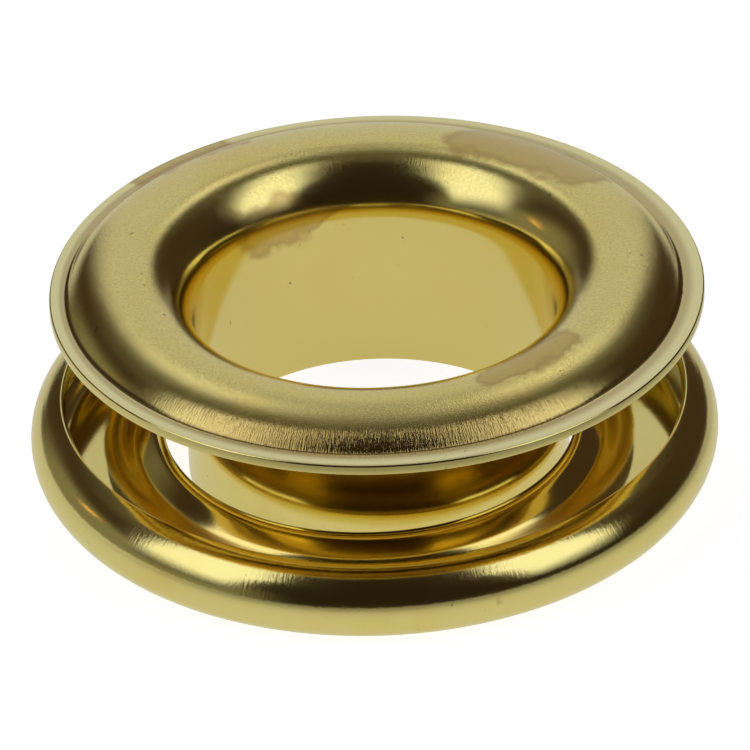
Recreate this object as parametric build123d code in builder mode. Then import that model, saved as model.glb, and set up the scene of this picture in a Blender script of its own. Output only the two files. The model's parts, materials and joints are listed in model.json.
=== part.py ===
from build123d import *
from math import cos, radians, sin
import os

# Grommet eyelet and its washer, both pressed from brass sheet, as they lie before they are set.
# Millimetres, +Z up. The origin is on the eyelet's axis, at the open end of its barrel.

# Eyelet
bore_diameter = 12.0
eyelet_sheet = 0.35
eyelet_height = 7.55           # from the barrel's open end to the top of the crown
throat_radius = 1.95           # the roll from the bore up onto the crown
crown_radius = 4.4             # the gentle top of the crown, outside its highest circle
crown_fall = 20.0              # degrees that the gentle top turns through
shoulder_radius = 1.55         # the tighter turn down towards the brim
flank_angle = 46.0             # degrees below level where the crown meets the brim
crease_radius = 0.35           # inside corner between the crown and the brim
brim_width = 0.52              # flat lip outside the crease

# Washer
washer_sheet = 0.35
barrel_clearance = 0.48        # radial gap between the barrel and the washer's hole
neck_height = 1.62             # from the underside to the top of the raised neck
neck_crest_radius = 0.45       # rounding over the top of the neck
neck_lip_angle = 24.0          # degrees that the neck turns down again at the hole
neck_top_slope = 35.0          # degrees, the neck's gentler upper part
neck_top_width = 0.58          # length of that part along its slope
neck_shoulder_radius = 0.7     # rounding down onto the steeper side
neck_slope = 52.0              # degrees, the neck's outer side
neck_foot_radius = 1.28        # inside corner between the neck and the channel
channel_width = 1.09           # flat floor between the neck and the rim
rim_radius = 1.27              # outside radius of the curled rim
rim_curl = 175.0               # degrees that the rim turns through
washer_offset = -0.12          # along X, the washer lies a little to one side of the barrel

# Both
cut_edge_break = 0.06          # burr taken off the cut edges of the sheet

# Worked out from the sizes above
bore_radius = bore_diameter / 2
washer_hole_radius = bore_radius + eyelet_sheet + barrel_clearance
neck_lip_drop = neck_crest_radius * (1 - cos(radians(neck_lip_angle)))
neck_crest_drop = neck_crest_radius * (1 - cos(radians(neck_top_slope)))
neck_top_drop = neck_top_width * sin(radians(neck_top_slope))
neck_shoulder_drop = neck_shoulder_radius * (cos(radians(neck_top_slope)) - cos(radians(neck_slope)))
neck_foot_drop = neck_foot_radius * (1 - cos(radians(neck_slope)))
neck_bends_drop = neck_crest_drop + neck_shoulder_drop + neck_foot_drop
neck_side_drop = neck_height - washer_sheet - neck_bends_drop - neck_top_drop
neck_side_length = neck_side_drop / sin(radians(neck_slope))

os.makedirs("parts", exist_ok=True)

# Eyelet: one sheet, drawn into the barrel, rolled over into the crown and left flat at the brim.
# The path is the face that shows, from the barrel's open end to the brim's edge.
with BuildPart() as eyelet:
    with BuildSketch(Plane.XZ) as eyelet_section:
        with BuildLine():
            bore = Line((bore_radius, 0), (bore_radius, eyelet_height - throat_radius))
            throat = JernArc(bore @ 1, bore % 1, throat_radius, -90)
            crown = JernArc(throat @ 1, throat % 1, crown_radius, -crown_fall)
            shoulder = JernArc(crown @ 1, crown % 1, shoulder_radius, crown_fall - flank_angle)
            crease = JernArc(shoulder @ 1, shoulder % 1, crease_radius, flank_angle)
            brim = PolarLine(crease @ 1, brim_width, direction=crease % 1)
            offset(amount=eyelet_sheet, side=Side.RIGHT)
        make_face()
        for cut_end in (bore @ 0, brim @ 1):
            chamfer(eyelet_section.vertices().sort_by_distance(cut_end)[:2], cut_edge_break)
    revolve(axis=Axis.Z)
eyelet.part.label = "eyelet"
export_step(eyelet.part, "parts/eyelet.step")

# Washer: one sheet, with a raised neck round its hole, a flat channel and a rim curled up and in.
# The path is the upper face, from the hole's edge to the rim's edge.
washer_axis = Axis((washer_offset, 0, 0), (0, 0, 1))
washer_plane = Plane(origin=(washer_offset, 0, 0), x_dir=(1, 0, 0), z_dir=(0, -1, 0))
with BuildPart() as washer:
    with BuildSketch(washer_plane) as washer_section:
        with BuildLine():
            hole_edge = Vector(washer_hole_radius, neck_height - neck_lip_drop)
            lip_direction = Vector(1, 0).rotate(Axis.Z, neck_lip_angle)
            crest_turn = neck_lip_angle + neck_top_slope
            neck_crest = JernArc(hole_edge, lip_direction, neck_crest_radius, -crest_turn)
            neck_top = PolarLine(neck_crest @ 1, neck_top_width, direction=neck_crest % 1)
            shoulder_turn = neck_slope - neck_top_slope
            neck_shoulder = JernArc(neck_top @ 1, neck_top % 1, neck_shoulder_radius, -shoulder_turn)
            neck_side = PolarLine(neck_shoulder @ 1, neck_side_length, direction=neck_shoulder % 1)
            neck_foot = JernArc(neck_side @ 1, neck_side % 1, neck_foot_radius, neck_slope)
            channel = PolarLine(neck_foot @ 1, channel_width, direction=neck_foot % 1)
            rim = JernArc(channel @ 1, channel % 1, rim_radius - washer_sheet, rim_curl)
            offset(amount=washer_sheet, side=Side.RIGHT)
        make_face()
        for cut_end in (neck_crest @ 0, rim @ 1):
            chamfer(washer_section.vertices().sort_by_distance(cut_end)[:2], cut_edge_break)
    revolve(axis=washer_axis)
washer.part.label = "washer"
export_step(washer.part, "parts/washer.step")
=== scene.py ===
import json
import math

import bpy
import numpy as np
from mathutils import Matrix, Vector


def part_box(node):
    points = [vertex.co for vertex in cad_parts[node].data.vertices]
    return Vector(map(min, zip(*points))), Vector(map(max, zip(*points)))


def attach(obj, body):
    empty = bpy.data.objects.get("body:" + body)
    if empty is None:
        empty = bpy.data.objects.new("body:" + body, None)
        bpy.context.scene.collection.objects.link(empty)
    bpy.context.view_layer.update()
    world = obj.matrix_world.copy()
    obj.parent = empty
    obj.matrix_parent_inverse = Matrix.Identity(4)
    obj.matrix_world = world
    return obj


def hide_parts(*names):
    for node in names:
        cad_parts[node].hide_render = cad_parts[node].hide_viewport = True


bl_info = {
    "name": "Brass Grommet Eyelet",
    "version": (1, 0, 0),
    "blender": (4, 5, 0),
    "location": "View3D > Sidebar > Grommet",
    "description": "Builds a brass grommet eyelet and its loose washer on a pale studio floor",
    "category": "Object",
}

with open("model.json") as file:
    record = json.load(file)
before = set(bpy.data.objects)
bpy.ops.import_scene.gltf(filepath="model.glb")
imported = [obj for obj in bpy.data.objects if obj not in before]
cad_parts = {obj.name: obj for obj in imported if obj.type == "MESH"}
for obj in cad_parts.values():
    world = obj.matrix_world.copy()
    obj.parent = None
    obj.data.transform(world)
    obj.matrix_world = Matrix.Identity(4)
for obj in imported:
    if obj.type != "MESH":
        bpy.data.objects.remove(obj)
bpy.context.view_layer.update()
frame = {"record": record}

MM = 0.001

WHITE = (1.0, 1.0, 1.0)

# How finely the two pressings are drawn
TURNS_AROUND = 512
PATH_SPACING = 0.16 * MM
POINTS_PER_BEND = 6
POINTS_PER_EDGE = 4

# Unevenness left by the press: how many waves go round, and the seed of each piece's phases
WAVE_ORDERS = (2, 3, 4, 5, 6)
EYELET_SEED = 3
WASHER_SEED = 8

# The washer is drawn in by this much in Y, so that its uneven rim stays inside the CAD's box
BOX_MARGIN = 0.003 * MM

# Brown stains on the eyelet: centre and radius of the round spots that run together, in millimetres
STAINS = (
    ((5.9, -5.0, 7.5), 1.1), ((5.2, -5.7, 7.5), 1.2), ((4.4, -6.4, 7.5), 1.0),
    ((3.7, -6.9, 7.5), 0.8),
    ((3.6, 7.9, 7.4), 1.6), ((4.9, 7.5, 7.4), 1.8), ((6.0, 6.6, 7.4), 1.7),
    ((7.0, 5.6, 7.4), 1.3),
    ((-7.2, 7.6, 6.8), 1.4), ((-6.2, 8.5, 6.8), 1.4), ((-5.1, 8.6, 7.0), 1.5),
    ((-4.0, 4.8, 6.0), 1.3), ((-2.9, 5.5, 5.9), 1.4), ((-1.9, 5.8, 6.1), 1.0),
)

# Stage, in metres. The camera sees the paper paler than the brass does.
FLOOR_HALF = 3.0
FLOOR_GLOW_SEEN = (0.84, 0.84, 0.86)
PAPER_SEEN = (0.62, 0.62, 0.64)
PAPER_HIDDEN = (0.30, 0.30, 0.30)

# Two lit walls: X, the lower edge as (Y, Z) from front to back, and the height of the top in front
WALLS = {
    "left_wall": (-0.30, ((-0.262, 0.07), (-0.04, 0.06), (-0.02, 0.16), (0.026, 0.27),
                          (0.08, 0.38), (0.14, 0.47), (0.21, 0.59), (0.25, 0.66)), 0.66),
    "right_wall": (0.30, ((-0.262, 0.10), (-0.06, 0.06), (-0.03, 0.16), (0.026, 0.31),
                          (0.08, 0.46), (0.14, 0.59), (0.21, 0.75), (0.25, 0.84)), 0.62),
}
WALL_FRONT = -0.262
WALL_BACK = 0.25
WALL_TOP = 1.5
WALL_FULL_HEIGHT = 0.26

# Lamps behind: lowest and highest X, lowest and highest Z, which brightness and what share of it
BACKDROP_Y = 0.35
BACK_PANELS = {
    "backdrop": (-0.124, 0.130, 0.0, 0.325, "back_lamp", 1.0),
    "left_foot": (-0.22, -0.124, 0.0, 0.045, "back_foot", 1.0),
    "right_foot": (0.130, 0.18, 0.0, 0.045, "back_foot", 1.0),
    "left_glow": (-0.150, -0.055, 0.335, 0.53, "glow_lamp", 1.0),
    "right_glow": (0.055, 0.160, 0.335, 0.53, "glow_lamp", 1.0),
    "middle_top": (-0.055, 0.055, 0.325, 0.53, "back_top", 1.0),
    "upper_top": (-0.17, 0.18, 0.53, 0.80, "back_top", 0.8),
}
WARM_LAMP_CORNERS = ((-0.28, 0.076, 0.108), (-0.28, 0.106, 0.108), (-0.28, 0.106, 0.136),
                     (-0.28, 0.076, 0.136))

CAMERA_AIM = Vector((-0.051 * MM, 0.0, 3.26 * MM))
SENSOR_WIDTH = 36.0
CLIP_START = 0.01
CLIP_END = 20.0


def bore_radius_of(record):
    """The radius of the eyelet's bore, as the frame's own record states it, in metres."""
    bore = next(mount for mount in record["mounts"] if mount["name"] == "bore")
    return bore["dims"]["r_mm"] * MM


def length(name, description, default):
    """A size in metres that a user can change."""
    return bpy.props.FloatProperty(name=name, description=description, default=default, min=0.0,
                                   unit="LENGTH", precision=5)


def angle(name, description, degrees):
    """An angle that a user can change, given in degrees and kept in radians."""
    return bpy.props.FloatProperty(name=name, description=description,
                                   default=math.radians(degrees), unit="ROTATION", subtype="ANGLE")


def share(name, description, default):
    """A plain number from nought upward, such as a strength."""
    return bpy.props.FloatProperty(name=name, description=description, default=default, min=0.0)


def colour(name, description, default):
    """A linear colour that a user can change."""
    return bpy.props.FloatVectorProperty(name=name, description=description, default=default,
                                         size=3, subtype="COLOR", min=0.0, max=1.0)


class GrommetEyeletSizes(bpy.types.PropertyGroup):
    """The eyelet's section, from the barrel's open end over the crown to the brim."""

    bore_radius: length("Bore radius", "Inside of the barrel", bore_radius_of(frame["record"]))
    sheet: length("Sheet", "Thickness of the brass sheet", 0.35 * MM)
    height: length("Height", "From the barrel's open end to the top of the crown",
                   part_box("eyelet")[1].z)
    throat_radius: length("Throat radius", "Roll from the bore up onto the crown", 1.95 * MM)
    crown_radius: length("Crown radius", "Gentle top of the crown, outside its highest circle",
                         4.4 * MM)
    crown_fall: angle("Crown fall", "Turn of the gentle top", 20)
    shoulder_radius: length("Shoulder radius", "Tighter turn down towards the brim", 1.55 * MM)
    flank_angle: angle("Flank angle", "Steepest slope of the crown, where it meets the brim", 46)
    crease_radius: length("Crease radius", "Inside corner between crown and brim", 0.35 * MM)
    brim_width: length("Brim width", "Flat lip outside the crease", 0.52 * MM)
    cut_edge_radius: length("Cut edge radius", "Burr taken off the cut edges", 0.06 * MM)
    trim_shift: bpy.props.FloatVectorProperty(
        name="Trim shift",
        description="How far the brim's cut edge lies off the bore's axis, in X and Y",
        default=(0.10 * MM, -0.06 * MM), size=2, unit="LENGTH")
    waviness: length("Waviness", "Unevenness left by the press", 0.012 * MM)


class GrommetWasherSizes(bpy.types.PropertyGroup):
    """The washer's section, from its hole over the neck and the channel to the curled rim."""

    sheet: length("Sheet", "Thickness of the brass sheet", 0.35 * MM)
    barrel_clearance: length("Barrel clearance", "Radial gap between barrel and hole", 0.48 * MM)
    neck_height: length("Neck height", "From the underside to the top of the neck", 1.62 * MM)
    neck_crest_radius: length("Neck crest radius", "Rounding over the top of the neck", 0.45 * MM)
    neck_lip_angle: angle("Neck lip angle", "Turn down again at the hole", 24)
    neck_top_slope: angle("Neck top slope", "Slope of the neck's gentler upper part", 35)
    neck_top_width: length("Neck top width", "Length of that part along its slope", 0.58 * MM)
    neck_shoulder_radius: length("Neck shoulder radius", "Rounding down onto the steeper side",
                                 0.7 * MM)
    neck_slope: angle("Neck slope", "Slope of the neck's outer side", 52)
    neck_foot_radius: length("Neck foot radius", "Inside corner between neck and channel",
                             1.28 * MM)
    channel_width: length("Channel width", "Flat floor between neck and rim", 1.09 * MM)
    rim_radius: length("Rim radius", "Outside radius of the curled rim", 1.27 * MM)
    rim_curl: angle("Rim curl", "Turn of the curled rim", 175)
    rim_lean: angle("Rim lean", "How much further the rim is curled at the front than at the sides",
                    18)
    rim_straight: angle("Rim straight",
                        "Turn past which the rim runs on straight at the sides and the back", 155)
    rim_straight_front: angle("Rim straight, front", "The same turn right at the front", 195)
    hole_shift: bpy.props.FloatProperty(
        name="Hole shift", description="How far the hole lies off centre in X",
        default=-0.15 * MM, unit="LENGTH", precision=5)
    cut_edge_radius: length("Cut edge radius", "Burr taken off the cut edges", 0.06 * MM)
    waviness: length("Waviness", "Unevenness left by the press", 0.012 * MM)


class GrommetFinish(bpy.types.PropertyGroup):
    """Colours of the brass."""

    clean: colour("Clean brass", "Bright yellow brass", (0.87, 0.75, 0.28))
    warm: colour("Warm brass", "Brass under a thin film", (0.86, 0.69, 0.22))
    amber: colour("Amber brass", "Brass inside the bore", (0.84, 0.69, 0.23))
    # Painted reflection: this amber stands in for light bounced between the brass surfaces, under
    # the crown's roll and in the washer neck's foot
    painted_bounce_amber: colour("Underside", "Amber film on the side that doesn't show", (0.94, 0.68, 0.16))
    worn: colour("Worn brass", "Paler brass on the brim", (0.95, 0.88, 0.46))
    tarnish: colour("Tarnish", "Brown stain", (0.54, 0.37, 0.12))
    stain_edge: colour("Stain edge", "Dark outline of a stain", (0.40, 0.25, 0.09))
    speck: colour("Speck", "Small dark pit", (0.22, 0.17, 0.08))


class GrommetStudio(bpy.types.PropertyGroup):
    """Floor, lamps and camera."""

    floor_near: colour("Floor close by", "Glow of the floor beside the object", (0.56, 0.56, 0.52))
    floor_front: colour("Floor in front", "Glow of the floor in front and to the right",
                        (0.20, 0.20, 0.19))
    floor_back: colour("Floor behind", "Glow of the floor behind and to the left",
                       (0.48, 0.48, 0.46))
    room: colour("Room", "Dim room behind the camera", (0.022, 0.015, 0.010))
    room_back: colour("Room behind", "Dim room beside the backdrop", (0.050, 0.032, 0.020))
    low_left: colour("Low left", "Dim light low on the left", (0.22, 0.21, 0.16))
    ceiling: colour("Ceiling", "Dim ceiling", (0.10, 0.095, 0.08))
    side_low: share("Side lamps, low", "Brightness of the two lit walls at their foot", 0.12)
    side_high: share("Side lamps, high", "Brightness of the two lit walls above it", 1.22)
    side_tint: colour("Side tint", "Colour of the two lit walls", (0.94, 0.96, 1.0))
    back_lamp: share("Back lamp", "Brightness of the lit backdrop", 0.57)
    back_foot: share("Back foot", "Brightness of the backdrop's wider foot", 0.46)
    glow_lamp: share("Glow lamps", "Brightness of the two brighter patches above the backdrop",
                     0.95)
    back_top: share("Back top", "Brightness of the dimmer patches over and between them", 0.36)
    warm_lamp: bpy.props.FloatVectorProperty(
        name="Warm lamp", description="Small orange lamp low on the left",
        default=(1.5, 0.85, 0.25), size=3, min=0.0)
    elevation: angle("Elevation", "Camera's height above the floor, as an angle", 32.89)
    roll: angle("Roll", "Turn of the camera about its own line of sight", 1.93)
    distance: length("Distance", "From the camera to its aim", 328.2 * MM)
    lens: share("Lens", "Focal length in millimetres on a 36 mm sensor", 474.8)


class GrommetSettings(bpy.types.PropertyGroup):
    """All the sizes, colours and lamps that a user can change."""

    eyelet: bpy.props.PointerProperty(type=GrommetEyeletSizes)
    washer: bpy.props.PointerProperty(type=GrommetWasherSizes)
    finish: bpy.props.PointerProperty(type=GrommetFinish)
    studio: bpy.props.PointerProperty(type=GrommetStudio)


class Value:
    """A socket of a node tree that stands in sums, products and powers like a number."""

    def __init__(self, nodes, socket):
        self.nodes = nodes
        self.socket = socket

    def _math(self, operation, *values, clamp=False):
        settings = {"operation": operation, "use_clamp": clamp}
        return self.nodes.add("ShaderNodeMath", settings, dict(enumerate(values)))

    def __add__(self, other):
        return self._math("ADD", self, other)

    def __radd__(self, other):
        return self._math("ADD", other, self)

    def __sub__(self, other):
        return self._math("SUBTRACT", self, other)

    def __rsub__(self, other):
        return self._math("SUBTRACT", other, self)

    def __mul__(self, other):
        return self._math("MULTIPLY", self, other)

    def __rmul__(self, other):
        return self._math("MULTIPLY", other, self)

    def __truediv__(self, other):
        return self._math("DIVIDE", self, other)

    def __pow__(self, other):
        return self._math("POWER", self, other)

    def clamped(self):
        return self._math("ADD", self, 0.0, clamp=True)

    def between(self, low, high):
        """0 at low, 1 at high, smooth in between."""
        settings = {"interpolation_type": "SMOOTHSTEP"}
        return self.nodes.add("ShaderNodeMapRange", settings,
                              {"Value": self, "From Min": low, "From Max": high})


class Nodes:
    """Adds nodes to the tree of one material or world."""

    def __init__(self, owner):
        owner.use_nodes = True
        self.tree = owner.node_tree
        self.tree.nodes.clear()

    def add(self, kind, settings=None, inputs=None, output=0):
        """One node: its settings are set first, then its sockets get their values or links.

        An output of None is for a node that ends the tree.
        """
        node = self.tree.nodes.new(kind)
        for name, value in (settings or {}).items():
            setattr(node, name, value)
        for name, value in (inputs or {}).items():
            if isinstance(value, Value):
                self.tree.links.new(value.socket, node.inputs[name])
            else:
                node.inputs[name].default_value = value
        return None if output is None else Value(self, node.outputs[output])

    def mix(self, factor, first, second):
        """A colour between two colours."""
        def as_colour(value):
            return value if isinstance(value, Value) else (*value, 1.0)

        inputs = {0: factor, 6: as_colour(first), 7: as_colour(second)}
        return self.add("ShaderNodeMix", {"data_type": "RGBA"}, inputs, output=2)

    def scaled(self, vector, factors):
        """A vector with each of its parts multiplied."""
        return self.add("ShaderNodeVectorMath", {"operation": "MULTIPLY"}, {0: vector, 1: factors})

    def noise(self, vector, scale=1.0, detail=2.0, roughness=0.5):
        """Soft noise about 0.5."""
        inputs = {"Vector": vector, "Scale": scale, "Detail": detail, "Roughness": roughness}
        return self.add("ShaderNodeTexNoise", None, inputs)

    def attribute(self, name, output):
        """A value or a vector that the mesh carries."""
        return self.add("ShaderNodeAttribute", {"attribute_name": name}, None, output)


def sheet_path(start, heading, moves):
    """Points along a path of straight runs and arcs, as (radius, height), with their headings.

    Each move is (length, turn). The heading grows evenly by the turn over the length, so a point is
    the start plus the integral of (cos heading, sin heading): an arc of radius length / turn, or a
    straight run where the turn is nought.
    """
    points, headings, travels = [np.array([start], float)], [np.array([heading])], [np.zeros(1)]
    for run, turn in moves:
        least = POINTS_PER_BEND if turn else 1
        count = max(least, math.ceil(run / PATH_SPACING))
        share_done = np.arange(1, count + 1) / count
        now = heading + turn * share_done
        if turn:
            radius = run / turn
            step = radius * np.stack([np.sin(now) - math.sin(heading),
                                      math.cos(heading) - np.cos(now)], 1)
        else:
            step = run * share_done[:, None] * np.array([math.cos(heading), math.sin(heading)])
        points.append(points[-1][-1] + step)
        headings.append(now)
        travels.append(travels[-1][-1] + run * share_done)
        heading += turn
    return np.concatenate(points), np.concatenate(headings), np.concatenate(travels)


def rounded_edge(corner, outward, across, sheet, radius):
    """The rounded cut edge of a sheet, from face to underside: two quarter circles and a flat.

    corner is the face's last point, one radius short of the cut. outward points to the cut, and
    across points from the face to the underside.
    """
    quarter = np.linspace(0, math.pi / 2, POINTS_PER_EDGE + 1)[:, None]
    near_centre = corner + radius * across
    near = near_centre + radius * (np.sin(quarter) * outward - np.cos(quarter) * across)
    far_centre = corner + (sheet - radius) * across
    far = far_centre + radius * (np.cos(quarter) * outward + np.sin(quarter) * across)
    return np.concatenate([near[1:], far[:-1]])


def sheet_section(path, sheet, edge_radius):
    """The closed outline of a sheet that follows a path, and what each of its points is.

    The face is the path itself. The underside is the path moved by the sheet's thickness square to
    its heading, on the right. A rounded cut edge closes each end.
    """
    points, headings, travel = path
    right = np.stack([np.sin(headings), -np.cos(headings)], 1)
    along = np.stack([np.cos(headings), np.sin(headings)], 1)
    end_edge = rounded_edge(points[-1], along[-1], right[-1], sheet, edge_radius)
    start_edge = rounded_edge(points[0], -along[0], right[0], sheet, edge_radius)[::-1]
    outline = np.concatenate([points, end_edge, (points + sheet * right)[::-1], start_edge])
    edge = np.zeros(len(end_edge))
    travels = np.concatenate([travel, edge + travel[-1], travel[::-1], edge])
    on_face = np.concatenate([np.ones(len(points)), edge + 0.5, np.zeros(len(points)), edge + 0.5])
    return outline, travels, on_face


def press_waves(seed, angles, height, amount):
    """Low, even waves round a ring, as a grid of section points by angles.

    A wave is a sum of amount / n * cos(n * angle + phase) over the orders n, with random phases,
    times height, which is each section point's share of it. The phases are drawn in pairs, and the
    first of each pair is used.
    """
    rng = np.random.default_rng(seed)
    orders = np.array(WAVE_ORDERS)
    phases = rng.uniform(0, 2 * math.pi, (len(orders), 2))[:, 0]
    wave = (amount / orders * np.cos(orders * angles[:, None] + phases)).sum(1)
    return wave[None, :] * height[:, None]


def turned_piece(name, section, centre, spread):
    """A ring: every point (radius, height) of the section carried round the axis through centre.

    A point at angle a is (centre + radius * cos a, radius * sin a, height), plus what spread gives
    for the whole grid: a shift in X, in Y and in Z. The mesh carries where a point is on the sheet:
    flow is (cos a, sin a, distance along the path) and face is 1 on the face and 0 underneath.
    """
    outline, travels, on_face = section
    angles = np.linspace(0, 2 * math.pi, TURNS_AROUND, endpoint=False)
    rows, turns = len(outline), len(angles)
    radius, height = outline[:, :1], outline[:, 1:]
    x = centre + radius * np.cos(angles)
    y = radius * np.sin(angles)
    z = height + np.zeros(turns)
    shift_x, shift_y, shift_z = spread(outline, angles)
    points = np.stack([x + shift_x, y + shift_y, z + shift_z], 2).reshape(-1, 3)

    row = np.arange(rows)[:, None]
    turn = np.arange(turns)[None, :]
    next_row, next_turn = (row + 1) % rows, (turn + 1) % turns
    quads = np.stack([row * turns + turn, next_row * turns + turn,
                      next_row * turns + next_turn, row * turns + next_turn], 2).reshape(-1, 4)
    next_outline = np.roll(outline, -1, axis=0)
    twice_area = np.sum(outline[:, 0] * next_outline[:, 1] - next_outline[:, 0] * outline[:, 1])
    if twice_area > 0:
        quads = quads[:, ::-1]

    mesh = bpy.data.meshes.new(name)
    mesh.vertices.add(len(points))
    mesh.vertices.foreach_set("co", points.ravel())
    mesh.loops.add(quads.size)
    mesh.loops.foreach_set("vertex_index", quads.ravel())
    mesh.polygons.add(len(quads))
    mesh.polygons.foreach_set("loop_start", np.arange(0, quads.size, 4))
    mesh.polygons.foreach_set("use_smooth", np.ones(len(quads), bool))
    mesh.update(calc_edges=True)
    mesh.validate()

    flow = np.stack([np.broadcast_to(np.cos(angles), (rows, turns)),
                     np.broadcast_to(np.sin(angles), (rows, turns)),
                     np.broadcast_to(travels[:, None] / MM, (rows, turns))], 2)
    mesh.attributes.new("flow", "FLOAT_VECTOR", "POINT").data.foreach_set("vector", flow.ravel())
    face = np.repeat(on_face, turns)
    mesh.attributes.new("face", "FLOAT", "POINT").data.foreach_set("value", face)
    piece = bpy.data.objects.new(name, mesh)
    bpy.context.scene.collection.objects.link(piece)
    return piece


def eyelet_moves(sizes):
    """The eyelet's path from the barrel's end to the brim's edge, one edge radius short of each."""
    bore = sizes.height - sizes.throat_radius - sizes.cut_edge_radius
    shoulder_turn = sizes.flank_angle - sizes.crown_fall
    return [
        (bore, 0.0),
        (sizes.throat_radius * math.pi / 2, -math.pi / 2),
        (sizes.crown_radius * sizes.crown_fall, -sizes.crown_fall),
        (sizes.shoulder_radius * shoulder_turn, -shoulder_turn),
        (sizes.crease_radius * sizes.flank_angle, sizes.flank_angle),
        (sizes.brim_width - sizes.cut_edge_radius, 0.0),
    ]


def washer_moves(sizes):
    """The washer's path from the hole to the rim's edge, one edge radius short of each."""
    edge_turn = sizes.cut_edge_radius / sizes.neck_crest_radius
    inner_rim = sizes.rim_radius - sizes.sheet
    rim_edge_turn = sizes.cut_edge_radius / inner_rim
    crest_turn = sizes.neck_lip_angle + sizes.neck_top_slope - edge_turn
    shoulder_turn = sizes.neck_slope - sizes.neck_top_slope
    rim_turn = sizes.rim_curl - rim_edge_turn
    crest_drop = sizes.neck_crest_radius * (1 - math.cos(sizes.neck_top_slope))
    top_drop = sizes.neck_top_width * math.sin(sizes.neck_top_slope)
    shoulder_cosines = math.cos(sizes.neck_top_slope) - math.cos(sizes.neck_slope)
    shoulder_drop = sizes.neck_shoulder_radius * shoulder_cosines
    foot_drop = sizes.neck_foot_radius * (1 - math.cos(sizes.neck_slope))
    side_drop = sizes.neck_height - sizes.sheet - crest_drop - top_drop - shoulder_drop - foot_drop
    return [
        (sizes.neck_crest_radius * crest_turn, -crest_turn),
        (sizes.neck_top_width, 0.0),
        (sizes.neck_shoulder_radius * shoulder_turn, -shoulder_turn),
        (side_drop / math.sin(sizes.neck_slope), 0.0),
        (sizes.neck_foot_radius * sizes.neck_slope, sizes.neck_slope),
        (sizes.channel_width, 0.0),
        (inner_rim * rim_turn, rim_turn),
    ]


def wandering(nodes, place, scale, amount):
    """A place moved about by noise, so that what is drawn on it gets an uneven edge."""
    wander = nodes.add("ShaderNodeTexNoise", None,
                       {"Vector": place, "Scale": scale, "Detail": 3.0}, "Color")
    moved = nodes.add("ShaderNodeVectorMath", {"operation": "MULTIPLY_ADD"},
                      {0: wander, 1: (amount,) * 3, 2: place})
    return nodes.add("ShaderNodeVectorMath", {"operation": "SUBTRACT"},
                     {0: moved, 1: (amount / 2,) * 3})


def run_together(nodes, place, spots):
    """The sum over all spots of (1 - (distance / radius) ** 2) ** 2, nought outside each spot."""
    field = 0.0
    for centre, radius in spots:
        reach = nodes.add("ShaderNodeVectorMath", {"operation": "DISTANCE"},
                          {0: place, 1: centre}, "Value")
        inside = (1.0 - (reach / radius) ** 2.0).clamped()
        field = inside * inside + field
    return field


def raised(nodes, relief):
    """The normal that a relief in millimetres gives."""
    return nodes.add("ShaderNodeBump", None, {"Height": relief, "Strength": 1.0, "Distance": MM})


def finished_brass(nodes, base, rough, bump):
    """Ends a brass material's tree."""
    shader = nodes.add("ShaderNodeBsdfPrincipled", None,
                       {"Base Color": base, "Metallic": 1.0, "Roughness": rough, "Normal": bump})
    nodes.add("ShaderNodeOutputMaterial", None, {"Surface": shader}, None)


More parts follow.
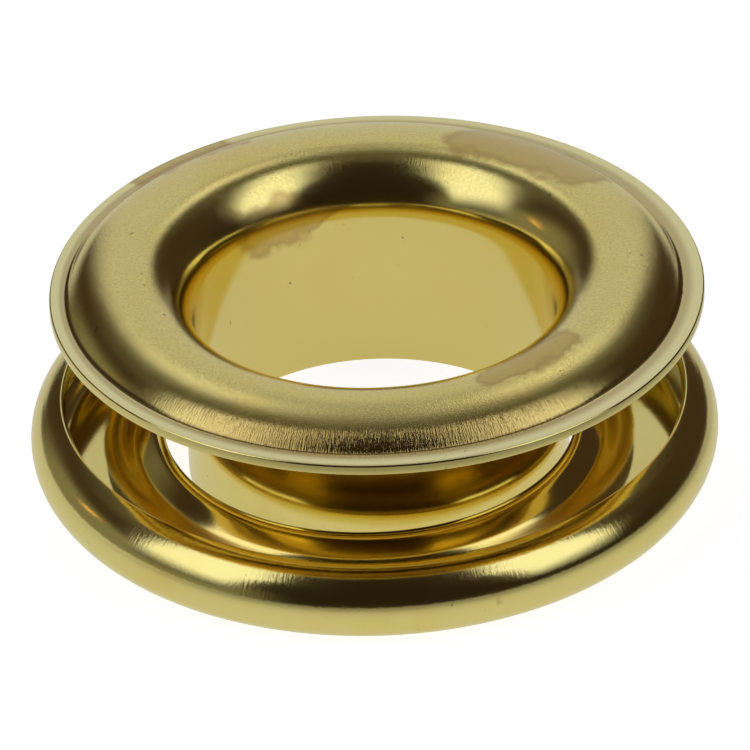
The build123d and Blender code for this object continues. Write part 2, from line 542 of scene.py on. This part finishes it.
def eyelet_brass(name, finish, sizes):
    """Satin on the crown, smooth in the bore and on the brim, with a painted amber reflection
    underneath, stained in places.

    The zones follow the distance along the sheet in millimetres, from the barrel's open end. Noise
    scales are per millimetre.
    """
    throat_start = (sizes.height - sizes.throat_radius) / MM
    crown_top = throat_start + sizes.throat_radius / MM * math.pi / 2
    crown_end = crown_top + (sizes.crown_radius * sizes.crown_fall
                             + sizes.shoulder_radius * (sizes.flank_angle - sizes.crown_fall)) / MM
    material = bpy.data.materials.new(name)
    nodes = Nodes(material)
    place = nodes.scaled(nodes.add("ShaderNodeTexCoord", None, None, "Object"), (1 / MM,) * 3)
    flow = nodes.attribute("flow", "Vector")
    along = nodes.add("ShaderNodeSeparateXYZ", None, {"Vector": flow}, "Z")
    on_face = nodes.attribute("face", "Fac")
    front = nodes.add("ShaderNodeVectorMath", {"operation": "DOT_PRODUCT"},
                      {0: flow, 1: (0.0, -1.0, 0.0)}, output="Value")

    top = on_face.between(0.6, 0.9)
    satin = top * along.between(throat_start + 0.7, throat_start + 1.9)
    satin = satin * (1.0 - along.between(crown_end - 0.15, crown_end + 0.05))
    brim = top * along.between(crown_end, crown_end + 0.2)
    bore = top * (1.0 - along.between(throat_start, throat_start + 1.4))

    cloud = nodes.noise(place, scale=0.30, detail=4.0, roughness=0.6)
    base = nodes.mix(cloud.between(0.42, 0.80), tuple(finish.clean), tuple(finish.warm))
    grain = nodes.noise(place, scale=11.0, detail=2.0, roughness=0.7).between(0.40, 0.66)
    base = nodes.mix(grain * (0.06 + 0.18 * satin), base, tuple(finish.tarnish))
    base = nodes.mix(bore * 0.75, base, tuple(finish.amber))
    # Painted amber reflection on the barrel's outside under the crown, standing in for light
    # bounced between the brass surfaces
    under_crown = on_face.between(0.4, 0.1) * along.between(throat_start - 0.4, throat_start + 0.6)
    base = nodes.mix(under_crown, base, tuple(finish.painted_bounce_amber))
    base = nodes.mix(brim, base, tuple(finish.worn))

    field = run_together(nodes, wandering(nodes, place, scale=0.8, amount=1.6), STAINS)
    stained = field.between(0.05, 0.50)
    outline = stained * (1.0 - field.between(0.30, 0.80))
    base = nodes.mix(stained * 0.6, base, tuple(finish.tarnish))
    base = nodes.mix(outline * 0.35, base, tuple(finish.stain_edge))
    # Darker in the crease between crown and brim
    crease_dark = top * along.between(crown_end - 0.1, crown_end + 0.1)
    crease_dark = crease_dark * (1.0 - along.between(crown_end + 0.25, crown_end + 0.5))
    base = nodes.mix(crease_dark * 0.5, base, tuple(finish.stain_edge))
    # The crown's flank towards the front (−Y) is browner, rougher and stroked from the crown
    # towards the brim
    front_flank = top * front.between(0.60, 0.95) * along.between(crown_top + 0.5, crown_top + 1.9)
    front_flank = front_flank * (1.0 - along.between(crown_end + 0.15, crown_end + 0.35))
    base = nodes.mix(front_flank * 0.70, base, tuple(finish.tarnish))
    speck = nodes.noise(place, scale=2.6, detail=2.0, roughness=0.5).between(0.735, 0.775)
    base = nodes.mix(speck * 0.7, base, tuple(finish.speck))

    fine = nodes.noise(place, scale=24.0, detail=1.0, roughness=0.6)
    strokes = nodes.noise(nodes.scaled(flow, (210.0, 210.0, 2.6)), roughness=0.6)
    broad = nodes.noise(place, scale=0.8, detail=1.0)
    relief = fine * (0.0005 + 0.0033 * satin) + broad * 0.003
    relief = relief + strokes * (0.0004 + 0.0012 * satin + 0.011 * front_flank)
    bump = raised(nodes, relief)
    patchy = nodes.noise(place, scale=1.5, detail=3.0, roughness=0.6) - 0.5
    rough = 0.13 + 0.03 * satin + 0.06 * patchy + 0.02 * brim + 0.04 * front_flank
    finished_brass(nodes, base, rough + 0.05 * stained, bump)
    return material


def washer_brass(name, finish, sizes):
    """Bright drawn brass with a painted amber reflection and a duller finish round the neck's foot,
    and brown spots outside.

    The zone follows the distance along the sheet in millimetres, from the hole's edge.
    """
    foot_start = (sizes.neck_crest_radius * (sizes.neck_lip_angle + sizes.neck_top_slope)
                  + sizes.neck_top_width) / MM
    foot_end = foot_start + sizes.neck_foot_radius * sizes.neck_slope / MM + 0.1
    material = bpy.data.materials.new(name)
    nodes = Nodes(material)
    place = nodes.scaled(nodes.add("ShaderNodeTexCoord", None, None, "Object"), (1 / MM,) * 3)
    flow = nodes.attribute("flow", "Vector")
    outer = 1.0 - nodes.attribute("face", "Fac").between(0.2, 0.8)
    along = nodes.add("ShaderNodeSeparateXYZ", None, {"Vector": flow}, "Z")
    foot = along.between(foot_start - 0.4, foot_start + 0.4) * (1.0 - outer)
    foot = foot * (1.0 - along.between(foot_end - 0.4, foot_end + 0.2))

    cloud = nodes.noise(place, scale=0.32, detail=4.0, roughness=0.6)
    base = nodes.mix(cloud.between(0.45, 0.80), tuple(finish.clean), tuple(finish.warm))
    # Painted amber reflection in the neck's inside corner, standing in for light bounced between
    # neck and rim; the roughness there is the duller finish
    base = nodes.mix(foot * 0.6, base, tuple(finish.painted_bounce_amber))
    spots = nodes.noise(place, scale=0.9, detail=3.0, roughness=0.65).between(0.66, 0.76)
    base = nodes.mix(spots * outer * 0.5, base, tuple(finish.tarnish))
    speck = nodes.noise(place, scale=2.9, detail=2.0, roughness=0.5).between(0.735, 0.775)
    base = nodes.mix(speck * 0.6, base, tuple(finish.speck))

    fine = nodes.noise(place, scale=8.0, detail=3.0, roughness=0.65)
    strokes = nodes.noise(nodes.scaled(flow, (140.0, 140.0, 1.2)), roughness=0.6)
    broad = nodes.noise(place, scale=0.9, detail=1.0)
    relief = fine * (0.0006 + 0.0026 * outer) + strokes * (0.0008 + 0.0014 * outer) + broad * 0.003
    bump = raised(nodes, relief)
    patchy = nodes.noise(place, scale=1.5, detail=3.0, roughness=0.6) - 0.5
    rough = 0.10 + 0.04 * outer + 0.10 * foot + 0.05 * patchy
    finished_brass(nodes, base, rough, bump)
    return material


def floor_material(studio):
    """Pale lit paper: near white to the camera, and dimmer away from the object to the brass."""
    material = bpy.data.materials.new("studio_paper")
    nodes = Nodes(material)
    seen = nodes.add("ShaderNodeLightPath", None, None, "Is Camera Ray")
    place = nodes.scaled(nodes.add("ShaderNodeTexCoord", None, None, "Object"), (1 / MM,) * 3)
    away = nodes.add("ShaderNodeVectorMath", {"operation": "LENGTH"}, {0: place}, "Value")
    side = nodes.add("ShaderNodeVectorMath", {"operation": "DOT_PRODUCT"},
                     {0: place, 1: (-0.5, 0.8, 0.0)}, output="Value")
    far = nodes.mix(side.between(-18.0, 18.0), tuple(studio.floor_front), tuple(studio.floor_back))
    glow = nodes.mix(away.between(10.5, 24.0), tuple(studio.floor_near), far)
    glow = nodes.mix(seen, glow, FLOOR_GLOW_SEEN)
    paper = nodes.mix(seen, PAPER_HIDDEN, PAPER_SEEN)
    shader = nodes.add("ShaderNodeBsdfPrincipled", None,
                       {"Base Color": paper, "Roughness": 1.0, "Specular IOR Level": 0.0,
                        "Emission Color": glow, "Emission Strength": 1.0})
    nodes.add("ShaderNodeOutputMaterial", None, {"Surface": shader}, None)
    return material


def dim_room(studio):
    """The world: white to the camera, and to everything else a dim room with a pale ceiling."""
    world = bpy.data.worlds.new("dim_room")
    bpy.context.scene.world = world
    nodes = Nodes(world)
    seen = nodes.add("ShaderNodeLightPath", None, None, "Is Camera Ray")
    toward = nodes.add("ShaderNodeTexCoord", None, None, "Generated")
    to_left, to_back, up = (nodes.add("ShaderNodeVectorMath", {"operation": "DOT_PRODUCT"},
                                      {0: toward, 1: axis}, output="Value")
                            for axis in ((-1.0, 0.0, 0.0), (0.0, 1.0, 0.0), (0.0, 0.0, 1.0)))
    shown = nodes.mix(to_back.between(-0.2, 0.6), tuple(studio.room), tuple(studio.room_back))
    low_left = to_left.between(0.45, 0.80) * (1.0 - up.between(0.35, 0.62))
    shown = nodes.mix(low_left, shown, tuple(studio.low_left))
    overhead = (0.5 * to_back + 0.866 * up).between(0.80, 0.95)
    shown = nodes.mix(overhead, shown, tuple(studio.ceiling))
    shown = nodes.mix(seen, shown, WHITE)
    shader = nodes.add("ShaderNodeBackground", None, {"Color": shown, "Strength": 1.0})
    nodes.add("ShaderNodeOutputWorld", None, {"Surface": shader}, None)


def lit_panel(name, corners, low, high=None, full_at=1.0):
    """A flat lamp of any outline, out of the camera's sight.

    Its colour goes from low at its lowest corner to high at the height full_at and above.
    """
    mesh = bpy.data.meshes.new(name)
    mesh.from_pydata(corners, [], [tuple(range(len(corners)))])
    material = bpy.data.materials.new(name)
    nodes = Nodes(material)
    place = nodes.add("ShaderNodeTexCoord", None, None, "Object")
    height = nodes.add("ShaderNodeSeparateXYZ", None, {"Vector": place}, "Z")
    lowest = min(corner[2] for corner in corners)
    glow = nodes.mix(height.between(lowest, full_at), low, high or low)
    shader = nodes.add("ShaderNodeBsdfPrincipled", None,
                       {"Base Color": (0.0, 0.0, 0.0, 1.0), "Specular IOR Level": 0.0,
                        "Emission Color": glow, "Emission Strength": 1.0})
    nodes.add("ShaderNodeOutputMaterial", None, {"Surface": shader}, None)
    thing = bpy.data.objects.new(name, mesh)
    thing.data.materials.append(material)
    thing.visible_camera = False
    bpy.context.scene.collection.objects.link(thing)


class GROMMET_OT_eyelet(bpy.types.Operator):
    """Builds the eyelet: barrel, crown and brim from one sheet"""

    bl_idname = "grommet.eyelet"
    bl_label = "Build the eyelet"

    def execute(self, context):
        sizes = context.scene.grommet.eyelet
        start = (sizes.bore_radius, sizes.cut_edge_radius)
        path = sheet_path(start, math.pi / 2, eyelet_moves(sizes))
        section = sheet_section(path, sizes.sheet, sizes.cut_edge_radius)
        brim_start = section[0][:, 0].max() - sizes.brim_width

        def spread(outline, angles):
            """The brim lies off centre by the trim shift, and the flange waves a little in height.

            The shift grows from nought where the brim starts to its whole over half the brim. A
            wave only lowers a point, by more towards the top, so nothing rises past the CAD's box.
            """
            outside = np.clip((outline[:, 0] - brim_start) / (sizes.brim_width * 0.5), 0, 1)
            lifted = np.clip(outline[:, 1] / sizes.height, 0, 1) ** 2
            wave = press_waves(EYELET_SEED, angles, lifted, sizes.waviness)
            shift_x, shift_y = (outside[:, None] * shift for shift in sizes.trim_shift)
            return shift_x, shift_y, -np.abs(wave)

        piece = turned_piece("eyelet_sheet", section, 0.0, spread)
        finish = context.scene.grommet.finish
        piece.data.materials.append(eyelet_brass("eyelet_brass", finish, sizes))
        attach(piece, "root")
        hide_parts("eyelet")
        return {"FINISHED"}


class GROMMET_OT_washer(bpy.types.Operator):
    """Builds the washer: neck, channel and curled rim from one sheet"""

    bl_idname = "grommet.washer"
    bl_label = "Build the washer"

    def execute(self, context):
        sizes = context.scene.grommet.washer
        eyelet = context.scene.grommet.eyelet
        hole = eyelet.bore_radius + eyelet.sheet + sizes.barrel_clearance
        crest_angle = sizes.neck_lip_angle - sizes.cut_edge_radius / sizes.neck_crest_radius
        edge_sines = math.sin(sizes.neck_lip_angle) - math.sin(crest_angle)
        radius = hole + sizes.neck_crest_radius * edge_sines
        height = sizes.neck_height - sizes.neck_crest_radius * (1 - math.cos(crest_angle))
        path = sheet_path((radius, height), crest_angle, washer_moves(sizes))
        section = sheet_section(path, sizes.sheet, sizes.cut_edge_radius)
        low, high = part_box("washer")

        def spread(outline, angles):
            """The rim curls further at the front, the hole is off centre, the tops wave a little.

            A point of the rim at the angle turned about the rim's own centre, nought at the
            channel, goes to turned * (1 - rim_lean / rim_curl * sin a): more at the front and less
            at the back. Past the angle straight it runs on along the tangent instead, by as much
            as the middle of the sheet would turn. straight is rim_straight, and rises to
            rim_straight_front right at the front.
            """
            rim_centre = np.array([outline[:, 0].max() - sizes.rim_radius, sizes.rim_radius])
            from_centre = outline - rim_centre
            angle_there = np.arctan2(from_centre[:, 0], -from_centre[:, 1])
            turned = np.where(from_centre[:, 0] > 0, angle_there, 0)[:, None]
            reach = np.hypot(from_centre[:, 0], from_centre[:, 1])[:, None]
            leaned = turned * (1 - sizes.rim_lean / sizes.rim_curl * np.sin(angles))
            toward_front = np.clip(-np.sin(angles), 0, 1) ** 4
            straight_rise = sizes.rim_straight_front - sizes.rim_straight
            straight = sizes.rim_straight + straight_rise * toward_front
            bent = np.minimum(leaned, straight)
            run_on = (sizes.rim_radius - sizes.sheet / 2) * (leaned - bent)
            outward = reach * (np.sin(bent) - np.sin(turned)) + run_on * np.cos(bent)
            upward = reach * (np.cos(turned) - np.cos(bent)) + run_on * np.sin(bent)
            channel_end = rim_centre[0] - 0.3 * sizes.channel_width
            near_hole = np.clip((channel_end - outline[:, :1]) / sizes.channel_width, 0, 1)
            lifted = np.clip(outline[:, 1] / sizes.neck_height, 0, 1) ** 2
            wave = press_waves(WASHER_SEED, angles, lifted, sizes.waviness)
            shift_x = outward * np.cos(angles) + near_hole * sizes.hole_shift
            return shift_x, (outward - BOX_MARGIN) * np.sin(angles), upward - np.abs(wave)

        piece = turned_piece("washer_sheet", section, (low.x + high.x) / 2, spread)
        finish = context.scene.grommet.finish
        piece.data.materials.append(washer_brass("washer_brass", finish, sizes))
        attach(piece, "root")
        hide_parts("washer")
        return {"FINISHED"}


class GROMMET_OT_stage(bpy.types.Operator):
    """Sets the floor, the lamps and the camera"""

    bl_idname = "grommet.stage"
    bl_label = "Set the stage"

    def execute(self, context):
        studio = context.scene.grommet.studio
        mesh = bpy.data.meshes.new("studio_floor")
        corners = [(x * FLOOR_HALF, y * FLOOR_HALF, 0)
                   for x, y in ((-1, -1), (1, -1), (1, 1), (-1, 1))]
        mesh.from_pydata(corners, [], [(0, 1, 2, 3)])
        floor = bpy.data.objects.new("studio_floor", mesh)
        floor.data.materials.append(floor_material(studio))
        context.scene.collection.objects.link(floor)

        dim_room(studio)
        low, high = (tuple(share_of * tint for tint in studio.side_tint)
                     for share_of in (studio.side_low, studio.side_high))
        for name, (x, lower_edge, front_top) in WALLS.items():
            outline = lower_edge + ((WALL_BACK, WALL_TOP), (WALL_FRONT, front_top))
            lit_panel(name, [(x, y, z) for y, z in outline], low, high, WALL_FULL_HEIGHT)
        for name, (x_low, x_high, z_low, z_high, lamp, share_of_lamp) in BACK_PANELS.items():
            outline = ((x_low, z_low), (x_high, z_low), (x_high, z_high), (x_low, z_high))
            brightness = getattr(studio, lamp) * share_of_lamp
            lit_panel(name, [(x, BACKDROP_Y, z) for x, z in outline], (brightness,) * 3)
        lit_panel("warm_lamp", WARM_LAMP_CORNERS, tuple(studio.warm_lamp))

        view = context.scene.view_settings
        view.view_transform = "Standard"
        lens = bpy.data.cameras.new("photo_camera")
        lens.lens = studio.lens
        lens.sensor_width = SENSOR_WIDTH
        lens.clip_start = CLIP_START
        lens.clip_end = CLIP_END
        camera = bpy.data.objects.new("photo_camera", lens)
        context.scene.collection.objects.link(camera)
        back = Vector((0.0, -math.cos(studio.elevation), math.sin(studio.elevation)))
        level = back.to_track_quat("Z", "Y").to_matrix().to_4x4()
        camera.matrix_world = (Matrix.Translation(CAMERA_AIM + back * studio.distance) @ level
                               @ Matrix.Rotation(-studio.roll, 4, "Z"))
        context.scene.camera = camera
        return {"FINISHED"}


class GROMMET_PT_panel(bpy.types.Panel):
    """Lists the pieces and their sizes"""

    bl_idname = "GROMMET_PT_panel"
    bl_label = "Grommet eyelet"
    bl_space_type = "VIEW_3D"
    bl_region_type = "UI"
    bl_category = "Grommet"

    def draw(self, context):
        settings = context.scene.grommet
        for title, group, operator in (
            ("Eyelet", settings.eyelet, "grommet.eyelet"),
            ("Washer", settings.washer, "grommet.washer"),
            ("Studio", settings.studio, "grommet.stage"),
        ):
            box = self.layout.box()
            box.label(text=title)
            for name in group.bl_rna.properties.keys():
                if name not in {"rna_type", "name"}:
                    box.prop(group, name)
            box.operator(operator)


CLASSES = (
    GrommetEyeletSizes,
    GrommetWasherSizes,
    GrommetFinish,
    GrommetStudio,
    GrommetSettings,
    GROMMET_OT_eyelet,
    GROMMET_OT_washer,
    GROMMET_OT_stage,
    GROMMET_PT_panel,
)


def register():
    for cls in CLASSES:
        bpy.utils.register_class(cls)
    bpy.types.Scene.grommet = bpy.props.PointerProperty(type=GrommetSettings)


def unregister():
    del bpy.types.Scene.grommet
    for cls in reversed(CLASSES):
        bpy.utils.unregister_class(cls)


def main():
    """Builds the pieces and the stage."""
    register()
    bpy.ops.grommet.eyelet()
    bpy.ops.grommet.washer()
    bpy.ops.grommet.stage()


if __name__ == "__main__":
    main()
